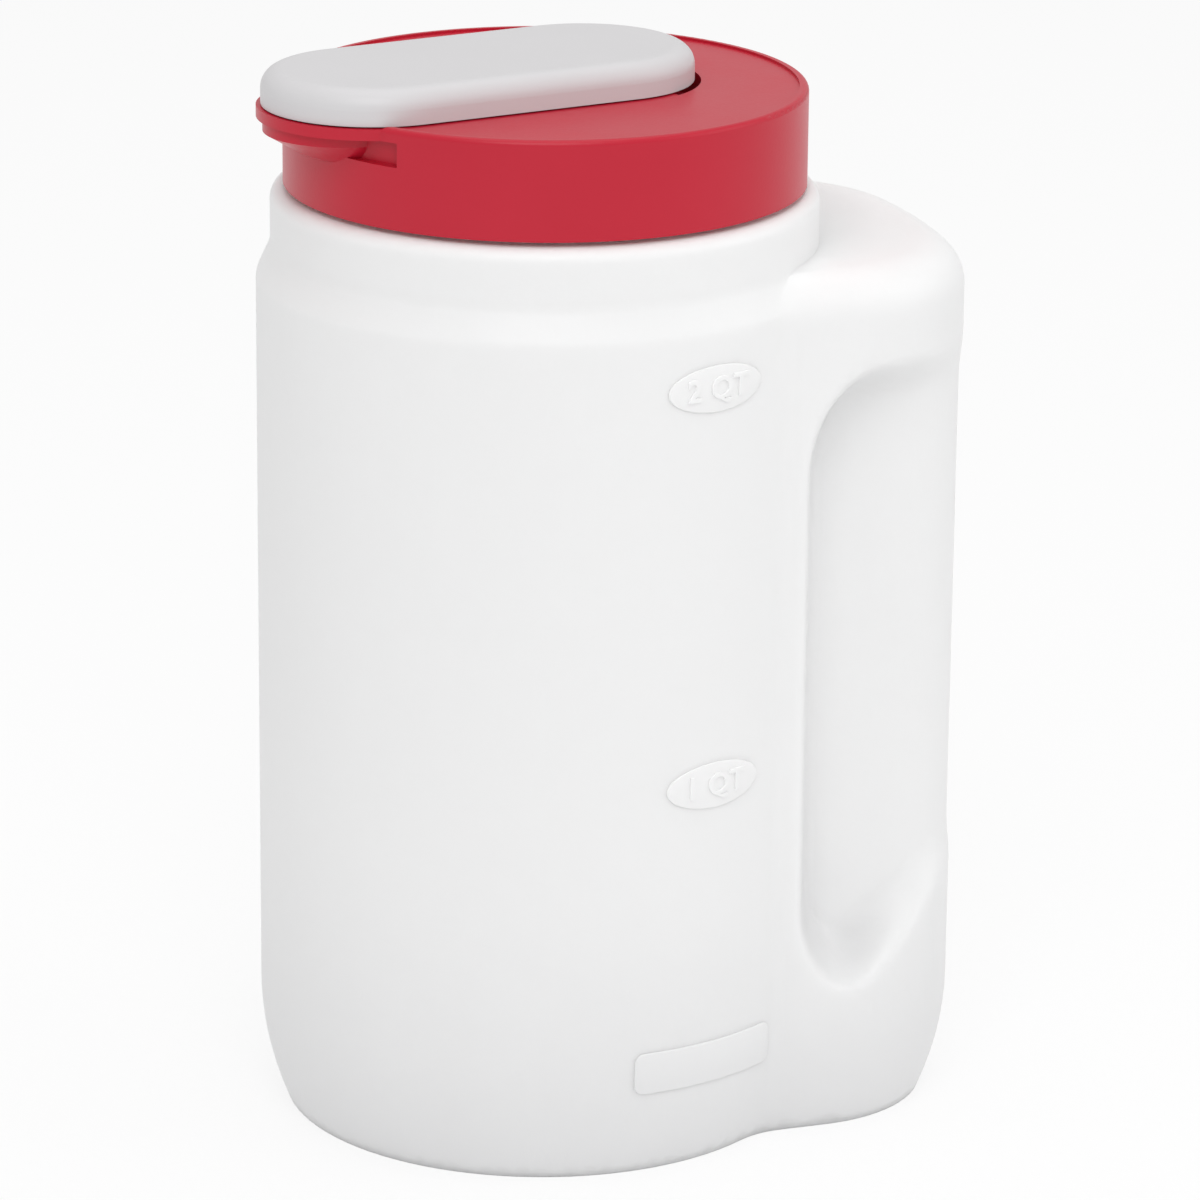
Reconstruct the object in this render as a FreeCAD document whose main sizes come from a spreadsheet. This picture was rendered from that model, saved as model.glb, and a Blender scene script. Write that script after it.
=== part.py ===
import FreeCAD, Part
import math
import os

import Sketcher
from FreeCAD import Vector

os.makedirs("parts", exist_ok=True)

# Two quart mixing bottle: a blow-moulded jug with a pinch-grip handle lobe, a screw lid with a
# pouring spout, and a flip cover over the spout. Millimetres. +Z is up, the table is z = 0, the
# axis of the round front is the Z axis and the handle points along +X.

SIZES = [
    # the blow-moulded bottle
    ("body_radius", 57.8, "outer radius of the round front"),
    ("wall", 1.3, "wall of the bottle"),
    ("lobe_half_width", 46.2, "half the width of the handle lobe"),
    ("lobe_reach", 84.0, "from the axis to the back of the lobe"),
    ("lobe_corner", 34.7, "radius of the two back corners in plan"),
    ("lobe_back", 132.0, "radius of the back face in plan"),
    ("waist_blend", 12.2, "radius where the lobe runs into the round front"),
    ("lobe_top", 181.0, "height of the flat top of the lobe"),
    ("lobe_edge", 9.2, "rounding of the top edge of the lobe"),
    ("foot_height", 24.5, "height of the part that draws in to the foot"),
    ("foot_inset", 5.1, "how far the foot draws in"),
    ("base_rise", 2.5, "rise of the base inside the foot ring"),
    ("base_ring", 7.0, "width of the foot ring"),
    ("shoulder_low", 174.2, "where the shoulder leaves the body"),
    ("shoulder_high", 180.4, "where the shoulder meets the collar"),
    ("collar_radius", 54.9, "outer radius of the collar"),
    ("collar_top", 192.1, "top of the collar"),
    ("collar_edge", 2.6, "rounding of the top edge of the collar"),
    ("shoulder_round", 5.0, "rounding of the shoulder where it meets body and collar"),
    ("neck_radius", 48.8, "outer radius of the neck inside the lid"),
    ("neck_top", 203.0, "rim of the neck"),
    # the finger recess round the lobe
    ("grip_low", 25.5, "lower edge of the recess"),
    ("grip_high", 164.2, "upper edge of the recess"),
    ("grip_depth", 16.8, "depth of the recess beside the waist"),
    ("grip_back_depth", 0.7, "depth of the recess at the back"),
    ("grip_fade", 51.0, "run round the lobe over which the recess grows shallow"),
    ("grip_back_rise", 22.5, "how much higher the lower edge is at the back"),
    ("grip_corner", 24.5, "corner radius of the recess outline"),
    ("grip_slope", 12.2, "height of the sloping border above and below"),
    ("grip_front_slope", 9.2, "width of the sloping border at the front"),
    # the screw lid
    ("lid_radius", 52.3, "outer radius of the lid"),
    ("lid_bottom", 193.1, "lower edge of the skirt"),
    ("lid_top", 213.0, "top of the deck"),
    ("lid_edge", 1.1, "rounding of the rim"),
    ("rim_width", 1.9, "width of the raised rim round the deck"),
    ("rim_rise", 0.5, "height of the rim over the deck"),
    ("deck", 2.2, "thickness of the deck"),
    ("thread_gap", 0.6, "gap between neck and skirt"),
    ("seat", 3.0, "how far the seat over the neck rim reaches inwards"),
    ("lid_turn", 11.2, "turn of the lid on the bottle, in degrees"),
    ("spout_centre", 38.8, "from the axis to the centre of the spout arc"),
    ("lip_edge", 0.9, "how far the lip of the spout stands out under the cover"),
    ("lip", 2.2, "thickness of the lip"),
    ("throat_radius", 15.8, "outer half width of the throat under the lip"),
    ("throat_reach", 45.2, "from the axis to the centre of the throat under the lip"),
    ("throat_drop", 2.3, "height of the upright part of the throat"),
    ("throat_foot", 38.0, "from the axis to the centre of the throat at its underside"),
    ("throat_low", 203.8, "underside of the throat"),
    ("throat_wall", 2.0, "wall of the throat"),
    ("pour_start", 33.0, "from the axis to the inner end of the pouring hole"),
    ("niche_half_width", 24.4, "half the width of the niche under the spout"),
    ("niche_low", 205.5, "lower edge of the niche"),
    ("niche_depth", 1.8, "depth of the niche"),
    # the flip cover
    ("cover_gap", 0.3, "gap between deck and cover"),
    ("cover_radius", 21.9, "half width of the cover"),
    ("cover_back", 30.8, "from the axis to the back of the cover"),
    ("cover_height", 7.0, "height of the cover"),
    ("cover_edge", 4.0, "rounding of the top edge of the cover"),
    ("cover_wall", 1.5, "wall of the cover"),
    ("plug_depth", 2.4, "how far the plug reaches into the spout"),
    ("plug_gap", 0.5, "gap round the plug"),
    ("plug_wall", 1.4, "wall of the plug"),
    # the hinge
    ("hinge_x", 23.5, "from the axis to the hinge pin"),
    ("hinge_rise", 2.7, "height of the hinge pin over the deck"),
    ("hinge_half", 8.0, "half the width over the two hinge ears"),
    ("pin_radius", 1.3, "radius of the hinge pin"),
    ("pin_gap", 0.2, "gap round the hinge pin"),
    ("knuckle_radius", 2.2, "radius of the knuckle that carries the pin"),
    ("ear", 2.8, "thickness of the hinge ears"),
    ("ear_gap", 0.5, "gap between ear and knuckle"),
    ("ear_radius", 2.7, "radius of the eye of each ear"),
    ("ear_foot", 7.0, "from the axis to the front of the foot of each ear"),
    ("well_floor", 207.1, "floor of the well behind the hinge"),
    ("well_wall", 1.8, "wall of the well"),
    ("well_front", 18.1, "front of the well"),
    ("well_gap", 1.3, "gap between the cover and the side of the well"),
]

doc = FreeCAD.newDocument("mixing_bottle")
sheet = doc.addObject("Spreadsheet::Sheet", "sizes")
for row, (alias, value, meaning) in enumerate(SIZES, start=1):
    sheet.set(f"A{row}", alias)
    sheet.set(f"B{row}", str(value))
    sheet.set(f"C{row}", meaning)
    sheet.setAlias(f"B{row}", alias)
doc.recompute()


def size(alias):
    """Value of one cell of the sheet."""
    return float(getattr(sheet, alias))


def read(text):
    """Value of an expression text on the aliases of the sheet."""
    return float(sheet.evalExpression(text))


def expr(text):
    """Expression text with each word that is an alias pointed at the sheet."""
    words = {alias for alias, _, _ in SIZES}
    out, word = "", ""
    for char in text + " ":
        if char.isalnum() or char == "_":
            word += char
            continue
        out += f"sizes.{word}" if word in words else word
        out += char
        word = ""
    return out.strip()


def bind(thing, **formulas):
    """Ties properties of an object to the sheet."""
    for prop, text in formulas.items():
        thing.setExpression(prop.replace("__", "."), expr(text))


# ---------------------------------------------------------------- PartDesign helpers

def new_body(name):
    body = doc.addObject("PartDesign::Body", name)
    body.Label = name
    return body


def origin_plane(body, role):
    return next(f for f in body.Origin.OriginFeatures if f.Role == role)


def new_sketch(body, name, height, role="XY_Plane"):
    """Sketch on an origin plane of its body, lifted by a bound height."""
    sketch = body.newObject("Sketcher::SketchObject", name)
    sketch.AttachmentSupport = [(origin_plane(body, role), "")]
    sketch.MapMode = "FlatFace"
    sketch.setExpression("AttachmentOffset.Base.z", expr(height))
    return sketch


def drive(sketch, constraint, name, text):
    """Adds a named dimension to a sketch and binds it."""
    index = sketch.addConstraint(constraint)
    sketch.renameConstraint(index, name)
    sketch.setExpression(f"Constraints.{name}", expr(text))


def pad(body, sketch, name, length, **more):
    feature = body.newObject("PartDesign::Pad", name)
    feature.Profile = sketch
    feature.setExpression("Length", expr(length))
    for prop, value in more.items():
        setattr(feature, prop, value)
    sketch.Visibility = False
    return feature


def pocket(body, sketch, name, length, **more):
    feature = body.newObject("PartDesign::Pocket", name)
    feature.Profile = sketch
    feature.setExpression("Length", expr(length))
    for prop, value in more.items():
        setattr(feature, prop, value)
    sketch.Visibility = False
    return feature


def arc_between(centre, start, end):
    """Anticlockwise arc through two points about a centre."""
    circle = Part.Circle(centre, Vector(0, 0, 1), (start - centre).Length)
    first = math.atan2(start.y - centre.y, start.x - centre.x)
    last = math.atan2(end.y - centre.y, end.x - centre.x)
    return Part.ArcOfCircle(circle, first, last)


# ---------------------------------------------------------------- plan of the bottle

def plan_frame(inset):
    """Centres and tangent points of the plan outline, drawn in by an inset."""
    front = size("body_radius") - inset
    waist = size("waist_blend") + inset
    half = size("lobe_half_width") - inset
    corner = size("lobe_corner") - inset
    back = size("lobe_back") - inset
    waist_y = half + waist
    waist_x = math.sqrt((front + waist) ** 2 - waist_y ** 2)
    back_x = size("lobe_reach") - inset - back
    corner_y = half - corner
    corner_x = back_x + math.sqrt((back - corner) ** 2 - corner_y ** 2)
    waist_centre = Vector(waist_x, waist_y, 0)
    corner_centre = Vector(corner_x, corner_y, 0)
    back_centre = Vector(back_x, 0, 0)
    outward = (corner_centre - back_centre).normalize()
    return {
        "front": front, "waist": waist, "half": half, "corner": corner, "back": back,
        "waist_centre": waist_centre, "corner_centre": corner_centre,
        "back_centre": back_centre,
        "front_end": waist_centre * (front / (front + waist)),
        "side_start": Vector(waist_x, half, 0),
        "side_end": Vector(corner_x, half, 0),
        "back_end": back_centre + outward * back,
    }


def mirrored(point):
    return Vector(point.x, -point.y, 0)


def draw_plan(sketch, inset):
    """Round front, two hollow waists, straight sides, back corners and back, all tangent."""
    p = plan_frame(read(inset))
    zero = Vector(0, 0, 0)
    pieces = [
        arc_between(zero, p["front_end"], mirrored(p["front_end"])),
        arc_between(mirrored(p["waist_centre"]), mirrored(p["side_start"]),
                    mirrored(p["front_end"])),
        Part.LineSegment(mirrored(p["side_start"]), mirrored(p["side_end"])),
        arc_between(mirrored(p["corner_centre"]), mirrored(p["side_end"]),
                    mirrored(p["back_end"])),
        arc_between(p["back_centre"], mirrored(p["back_end"]), p["back_end"]),
        arc_between(p["corner_centre"], p["back_end"], p["side_end"]),
        Part.LineSegment(p["side_end"], p["side_start"]),
        arc_between(p["waist_centre"], p["front_end"], p["side_start"]),
    ]
    front, waist_a, side_a, corner_a, back, corner_b, side_b, waist_b = range(len(pieces))
    for piece in pieces:
        sketch.addGeometry(piece, False)
    start, end, centre = 1, 2, 3
    joints = [
        (front, end, waist_a, end), (waist_a, start, side_a, start),
        (side_a, end, corner_a, start), (corner_a, end, back, start),
        (back, end, corner_b, start), (corner_b, end, side_b, start),
        (side_b, end, waist_b, end), (waist_b, start, front, start),
    ]
    for joint in joints:
        sketch.addConstraint(Sketcher.Constraint("Tangent", *joint))
    sketch.addConstraint(Sketcher.Constraint("Coincident", front, centre, -1, 1))
    sketch.addConstraint(Sketcher.Constraint("PointOnObject", back, centre, -1))
    for side in (side_a, side_b):
        sketch.addConstraint(Sketcher.Constraint("Horizontal", side))
    sketch.addConstraint(Sketcher.Constraint("Equal", waist_a, waist_b))
    sketch.addConstraint(Sketcher.Constraint("Equal", corner_a, corner_b))
    drive(sketch, Sketcher.Constraint("Radius", front, p["front"]), "front",
          f"body_radius - {inset}")
    drive(sketch, Sketcher.Constraint("Radius", waist_a, p["waist"]), "waist",
          f"waist_blend + {inset}")
    drive(sketch, Sketcher.Constraint("Radius", corner_a, p["corner"]), "corner",
          f"lobe_corner - {inset}")
    drive(sketch, Sketcher.Constraint("Radius", back, p["back"]), "back",
          f"lobe_back - {inset}")
    drive(sketch, Sketcher.Constraint("DistanceY", side_a, end, side_b, start, 2 * p["half"]),
          "width", f"2 * (lobe_half_width - {inset})")
    drive(sketch, Sketcher.Constraint("DistanceX", back, centre, -1, 1, -p["back_centre"].x),
          "reach", "lobe_back - lobe_reach")


FOOT_STEPS = 4


def foot_level(step):
    """Share of the foot height and of the foot inset at one section of the drawn-in foot."""
    rise = step / FOOT_STEPS
    return rise, (1 - rise) ** 2


def jug_form(name, grow, floor, top):
    """Plan outline from floor to lobe top with a drawn-in foot and a rounded top edge.

    grow is the inset of the whole form: 0 outside and the wall inside.
    """
    body = new_body(name)
    trunk = new_sketch(body, f"{name}_trunk", "foot_height")
    draw_plan(trunk, grow)
    pad(body, trunk, f"{name}_side", f"{top} - foot_height")
    sections = []
    for step in range(FOOT_STEPS - 1, -1, -1):
        rise, draw_in = foot_level(step)
        level = new_sketch(body, f"{name}_foot_{step}",
                           f"{floor} + (foot_height - {floor}) * {rise}")
        draw_plan(level, f"({grow} + foot_inset * {draw_in})")
        sections.append(level)
    doc.recompute()
    foot = body.newObject("PartDesign::AdditiveLoft", f"{name}_foot")
    foot.Profile = trunk
    foot.Sections = sections
    doc.recompute()
    top_level = foot.Shape.BoundBox.ZMax
    edges = [f"Edge{i}" for i, edge in enumerate(foot.Shape.Edges, start=1)
             if abs(edge.BoundBox.ZMin - top_level) < 1e-6]
    rounding = body.newObject("PartDesign::Fillet", f"{name}_top_edge")
    rounding.Base = (foot, edges)
    rounding.setExpression("Radius", expr(f"lobe_edge - {grow}"))
    doc.recompute()
    return body


# ---------------------------------------------------------------- finger recess

SINK = 0.3            # how far the cutter's floor stands outside the wall at the edge
FLARE = 0.12          # how fast it moves further out beyond the edge
OUTSIDE = 9.0         # thickness of the cutter outside the wall
OVERRUN = 6.0         # how far the cutter runs past the edges of the recess


def lobe_point(run):
    """Point and outward normal on the plan outline of the lobe.

    run is measured from where the straight side starts, round the back to the other side.
    A negative run lies on the hollow waist.
    """
    p = plan_frame(0.0)
    straight = p["side_end"].x - p["side_start"].x
    outward = (p["corner_centre"] - p["back_centre"]).normalize()
    back_angle = math.atan2(outward.y, outward.x)
    turn = math.pi / 2 - back_angle
    half_run = straight + p["corner"] * turn + p["back"] * back_angle
    flip = run > half_run
    if flip:
        run = 2 * half_run - run
    if run < 0:
        angle = run / p["waist"]
        centre, radius, angle = p["waist_centre"], p["waist"], -math.pi / 2 + angle
        normal = Vector(-math.cos(angle), -math.sin(angle), 0)
        point = centre - normal * radius
    elif run < straight:
        normal = Vector(0, 1, 0)
        point = p["side_start"] + Vector(run, 0, 0)
    elif run < straight + p["corner"] * turn:
        angle = math.pi / 2 - (run - straight) / p["corner"]
        normal = Vector(math.cos(angle), math.sin(angle), 0)
        point = p["corner_centre"] + normal * p["corner"]
    else:
        angle = (half_run - run) / p["back"]
        normal = Vector(math.cos(angle), math.sin(angle), 0)
        point = p["back_centre"] + normal * p["back"]
    if flip:
        return point, normal, half_run
    return mirrored(point), mirrored(normal), half_run


def eased(share):
    """Smooth step from 0 to 1 with level ends."""
    share = min(1.0, max(0.0, share))
    return share ** 3 * (6 * share ** 2 - 15 * share + 10)


def grip_depth_at(run, height, half_run):
    """Depth of the finger recess at a place on the lobe wall, less than 0 outside it."""
    run = min(run, 2 * half_run - run)
    fade = (1 + math.cos(math.pi * min(1.0, max(0.0, run) / size("grip_fade")))) / 2
    back = size("grip_back_depth") + SINK
    deepest = back + (size("grip_depth") + SINK - back) * fade
    low = size("grip_low") + size("grip_back_rise") * eased(run / size("grip_fade"))
    side = run * size("grip_slope") / size("grip_front_slope")
    level = min(height - low, size("grip_high") - height)
    corner = size("grip_corner")
    if side < corner and level < corner:
        inside = corner - math.hypot(corner - side, corner - level)
    else:
        inside = min(side, level)
    return deepest * eased(inside / size("grip_slope")) - SINK + FLARE * min(0.0, inside)


def grip_runs(half_run):
    """Places along the wall, close together over the steep front border."""
    close = [-OVERRUN + step * 1.5 for step in range(15)]
    rest = half_run - close[-1]
    count = 11
    wide = [close[-1] + rest * step / count for step in range(1, count + 1)]
    near = close + wide
    return near + [2 * half_run - run for run in reversed(near[:-1])]


def grip_levels():
    """Heights of the cutter's sections, close together over the sloping borders."""
    low, high = size("grip_low"), size("grip_high")
    slope, corner, rise = size("grip_slope"), size("grip_corner"), size("grip_back_rise")
    lower = [low - OVERRUN, low - OVERRUN / 2]
    lower += [low + slope * share for share in (0, 0.2, 0.4, 0.6, 0.8, 1)]
    lower += [low + slope + (rise + corner - slope) * share for share in (0.2, 0.4, 0.6, 0.8, 1)]
    upper = [high + OVERRUN, high + OVERRUN / 2]
    upper += [high - slope * share for share in (0, 0.2, 0.4, 0.6, 0.8, 1)]
    upper += [high - corner, high - corner * 1.4]
    middle = (lower[-1] + upper[-1]) / 2
    return lower + [middle] + upper[::-1]


def grip_cutter(name, grow):
    """Curved block whose inner face is the floor of the finger recess, set in by grow."""
    half_run = lobe_point(0.0)[2]
    runs = grip_runs(half_run)
    share = [(run - runs[0]) / (runs[-1] - runs[0]) for run in runs]
    wires = []
    for height in grip_levels():
        floor, outer = [], []
        for run in runs:
            point, normal, _ = lobe_point(run)
            depth = grip_depth_at(run, height, half_run) + grow
            lift = Vector(0, 0, height)
            floor.append(point - normal * depth + lift)
            outer.append(point + normal * OUTSIDE + lift)
        inner_curve = Part.BSplineCurve()
        inner_curve.interpolate(Points=floor, Parameters=share)
        outer_curve = Part.BSplineCurve()
        outer_curve.interpolate(Points=outer, Parameters=share)
        wires.append(Part.Wire([
            inner_curve.toShape(), Part.LineSegment(floor[-1], outer[-1]).toShape(),
            outer_curve.toShape(), Part.LineSegment(outer[0], floor[0]).toShape(),
        ]))
    feature = doc.addObject("Part::Feature", name)
    feature.Shape = Part.makeLoft(wires, True, False)
    return feature


# ---------------------------------------------------------------- sketch outlines

START, END, CENTRE = 1, 2, 3      # point numbers of a sketch element
ORIGIN_POINT = (-1, 1)
X_AXIS = -1
Y_AXIS = -2


def add_pieces(sketch, pieces):
    """Adds the pieces and returns their numbers."""
    first = sketch.GeometryCount
    for piece in pieces:
        sketch.addGeometry(piece, False)
    return list(range(first, first + len(pieces)))


def draw_polygon(sketch, corners):
    """Closed outline through bound corners."""
    points = [Vector(read(x), read(y), 0) for x, y in corners]
    sides = add_pieces(sketch, [Part.LineSegment(a, b)
                                for a, b in zip(points, points[1:] + points[:1])])
    for a, b in zip(sides, sides[1:] + sides[:1]):
        sketch.addConstraint(Sketcher.Constraint("Coincident", a, END, b, START))
    for side, (x, y), point in zip(sides, corners, points):
        if x == "0":
            sketch.addConstraint(Sketcher.Constraint("PointOnObject", side, START, Y_AXIS))
        else:
            drive(sketch, Sketcher.Constraint("DistanceX", *ORIGIN_POINT, side, START, point.x),
                  f"x_{side}", x)
        drive(sketch, Sketcher.Constraint("DistanceY", *ORIGIN_POINT, side, START, point.y),
              f"y_{side}", y)


# ---------------------------------------------------------------- solids and booleans

# the frame's origin stands under the middle of the whole, so every piece is moved by this
SHIFT = "(spout_centre * cos(lid_turn * 1 deg) + cover_radius + lip_edge - lobe_reach) / 2"


def edge_at(shape, radius, level):
    """Name of the circular edge of that radius at that height."""
    for number, edge in enumerate(shape.Edges, start=1):
        curve = edge.Curve
        if isinstance(curve, Part.Circle) and abs(curve.Radius - radius) < 1e-6:
            if abs(curve.Center.z - level) < 1e-6:
                return f"Edge{number}"
    raise RuntimeError(f"no edge of radius {radius} at {level}")


def rounded(body, base, name, radius, level, rounding):
    """Rounds one circular edge of a body."""
    doc.recompute()
    fillet = body.newObject("PartDesign::Fillet", name)
    fillet.Base = (base, [edge_at(base.Shape, read(radius), read(level))])
    fillet.setExpression("Radius", expr(rounding))
    return fillet


def neck_form(name, grow, rim):
    """Turned front of the body with shoulder, rounded collar and neck."""
    body_radius, collar = f"(body_radius - {grow})", f"(collar_radius - {grow})"
    steps = [("shoulder_low - 2 * lobe_edge", body_radius, "shoulder_low"),
             ("shoulder_high", collar, f"collar_top - {grow}"),
             (f"collar_top - {grow}", f"(neck_radius - {grow})", rim)]
    corners = [("0", steps[0][0])]
    for low, radius, high in steps:
        corners += [(radius, low), (radius, high)]
    corners.append(("0", rim))
    body = new_body(name)
    sketch = new_sketch(body, f"{name}_profile", "0", "XZ_Plane")
    draw_polygon(sketch, corners)
    turn = body.newObject("PartDesign::Revolution", f"{name}_turned")
    turn.Profile = sketch
    turn.ReferenceAxis = (sketch, ["V_Axis"])
    turn.Angle = 360
    feature = rounded(body, turn, f"{name}_shoulder_low", body_radius, "shoulder_low",
                      f"shoulder_round - {grow}")
    feature = rounded(body, feature, f"{name}_shoulder_high", collar, "shoulder_high",
                      f"shoulder_round + {grow}")
    rounded(body, feature, f"{name}_collar_edge", collar, f"collar_top - {grow}",
            f"collar_edge - {grow}")
    return body


def fused(name, shapes):
    joined = doc.addObject("Part::MultiFuse", name)
    joined.Shapes = shapes
    joined.Refine = True
    return joined


def cut(name, base, tool):
    rest = doc.addObject("Part::Cut", name)
    rest.Base = base
    rest.Tool = tool
    rest.Refine = True
    return rest


# ---------------------------------------------------------------- bottle

def dish(name, inset, high):
    """Block under the base that lifts its middle inside the foot ring."""
    body = new_body(name)
    sketch = new_sketch(body, f"{name}_plan", "-wall")
    draw_plan(sketch, inset)
    pad(body, sketch, f"{name}_rise", f"{high} + wall")
    return body


def jug(name, grow, floor, rim):
    """Whole form of the bottle set in by grow: body, shoulder, collar, neck and recess."""
    pieces = [jug_form(f"{name}_form", grow, floor, f"(lobe_top - {grow})"),
              neck_form(f"{name}_turn", grow, rim)]
    return cut(f"{name}_gripped", fused(f"{name}_whole", pieces),
               grip_cutter(f"{name}_grip", read(grow)))


def make_bottle():
    """Blow-moulded bottle: the outside form less the same form set in by the wall."""
    outside = cut("outside_standing", jug("outside", "0", "0", "neck_top"),
                  dish("dish_below", "(foot_inset + base_ring)", "base_rise"))
    inside = cut("inside_standing", jug("inside", "wall", "wall", "(neck_top + wall)"),
                 dish("dish_above", "(foot_inset + base_ring - wall)", "(base_rise + wall)"))
    bottle = cut("bottle", outside, inside)
    bottle.Label = "bottle"
    bind(bottle, Placement__Base__x=SHIFT)
    return bottle


# ---------------------------------------------------------------- screw lid

def draw_capsule(sketch, centre, radius, finish):
    """Outline with a half round towards -X and a square end at X = finish."""
    middle, half, far = -read(centre), read(radius), read(finish)
    near_top, near_low = Vector(middle, half, 0), Vector(middle, -half, 0)
    far_top, far_low = Vector(far, half, 0), Vector(far, -half, 0)
    arc, low, back, top = add_pieces(sketch, [
        arc_between(Vector(middle, 0, 0), near_top, near_low),
        Part.LineSegment(near_low, far_low),
        Part.LineSegment(far_low, far_top),
        Part.LineSegment(far_top, near_top),
    ])
    for joint in ((arc, END, low, START), (top, END, arc, START)):
        sketch.addConstraint(Sketcher.Constraint("Tangent", *joint))
    for joint in ((low, END, back, START), (back, END, top, START)):
        sketch.addConstraint(Sketcher.Constraint("Coincident", *joint))
    sketch.addConstraint(Sketcher.Constraint("Horizontal", low))
    sketch.addConstraint(Sketcher.Constraint("Vertical", back))
    sketch.addConstraint(Sketcher.Constraint("PointOnObject", arc, CENTRE, X_AXIS))
    drive(sketch, Sketcher.Constraint("DistanceX", arc, CENTRE, *ORIGIN_POINT, -middle),
          "centre", centre)
    drive(sketch, Sketcher.Constraint("Radius", arc, half), "radius", radius)
    drive(sketch, Sketcher.Constraint("DistanceX", arc, CENTRE, low, END, far - middle),
          "length", f"({finish}) + ({centre})")


def draw_circle(sketch, radius, across="0", up="0"):
    """Bound circle with its centre at a bound place."""
    x, y = read(across), read(up)
    ring = sketch.addGeometry(Part.Circle(Vector(x, y, 0), Vector(0, 0, 1), read(radius)), False)
    if across == "0":
        sketch.addConstraint(Sketcher.Constraint("Coincident", ring, CENTRE, *ORIGIN_POINT))
    else:
        drive(sketch, Sketcher.Constraint("DistanceX", *ORIGIN_POINT, ring, CENTRE, x),
              f"across_{ring}", across)
        drive(sketch, Sketcher.Constraint("DistanceY", *ORIGIN_POINT, ring, CENTRE, y),
              f"up_{ring}", up)
    drive(sketch, Sketcher.Constraint("Radius", ring, read(radius)), f"radius_{ring}", radius)


def draw_segment(sketch, centre, radius, front):
    """Part of a disc behind a straight front, with the disc's centre on the X axis."""
    middle, reach, near = read(centre), read(radius), read(front)
    half = math.sqrt(reach ** 2 - (near - middle) ** 2)
    low, top = Vector(near, -half, 0), Vector(near, half, 0)
    arc, line = add_pieces(sketch, [arc_between(Vector(middle, 0, 0), low, top),
                                    Part.LineSegment(top, low)])
    sketch.addConstraint(Sketcher.Constraint("Coincident", arc, END, line, START))
    sketch.addConstraint(Sketcher.Constraint("Coincident", line, END, arc, START))
    sketch.addConstraint(Sketcher.Constraint("PointOnObject", arc, CENTRE, X_AXIS))
    sketch.addConstraint(Sketcher.Constraint("Vertical", line))
    drive(sketch, Sketcher.Constraint("Radius", arc, reach), "radius", radius)
    drive(sketch, Sketcher.Constraint("DistanceX", *ORIGIN_POINT, arc, CENTRE, middle),
          "centre", centre)
    drive(sketch, Sketcher.Constraint("DistanceX", *ORIGIN_POINT, line, START, near),
          "front", front)


def draw_niche(sketch):
    """Strip of the skirt's outside that the niche under the spout takes away."""
    half = read("niche_half_width")
    inner, outer = read("lid_radius - niche_depth"), read("lid_radius + niche_depth")
    zero = Vector(0, 0, 0)
    ends = {(radius, side): Vector(-math.sqrt(radius ** 2 - half ** 2), side * half, 0)
            for radius in (inner, outer) for side in (1, -1)}
    near, top, far, low = add_pieces(sketch, [
        arc_between(zero, ends[inner, 1], ends[inner, -1]),
        Part.LineSegment(ends[inner, 1], ends[outer, 1]),
        arc_between(zero, ends[outer, 1], ends[outer, -1]),
        Part.LineSegment(ends[outer, -1], ends[inner, -1]),
    ])
    joints = [(near, START, top, START), (top, END, far, START),
              (far, END, low, START), (low, END, near, END)]
    for joint in joints:
        sketch.addConstraint(Sketcher.Constraint("Coincident", *joint))
    for arc in (near, far):
        sketch.addConstraint(Sketcher.Constraint("Coincident", arc, CENTRE, *ORIGIN_POINT))
    for side in (top, low):
        sketch.addConstraint(Sketcher.Constraint("Horizontal", side))
    drive(sketch, Sketcher.Constraint("Radius", near, inner), "inner", "lid_radius - niche_depth")
    drive(sketch, Sketcher.Constraint("Radius", far, outer), "outer", "lid_radius + niche_depth")
    drive(sketch, Sketcher.Constraint("DistanceY", *ORIGIN_POINT, top, START, half), "half",
          "niche_half_width")
    drive(sketch, Sketcher.Constraint("DistanceY", low, START, *ORIGIN_POINT, half), "other_half",
          "niche_half_width")


def loft(body, kind, name, sketches):
    feature = body.newObject(f"PartDesign::{kind}", name)
    feature.Profile = sketches[0]
    feature.Sections = sketches[1:]
    return feature


DECK_LEVEL = "(lid_top - rim_rise)"
LIP_RADIUS = "(cover_radius + lip_edge)"
BACK_CENTRE = "(cover_back - cover_radius)"
SIDES = (("near", "1"), ("far", "-1"))


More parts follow.
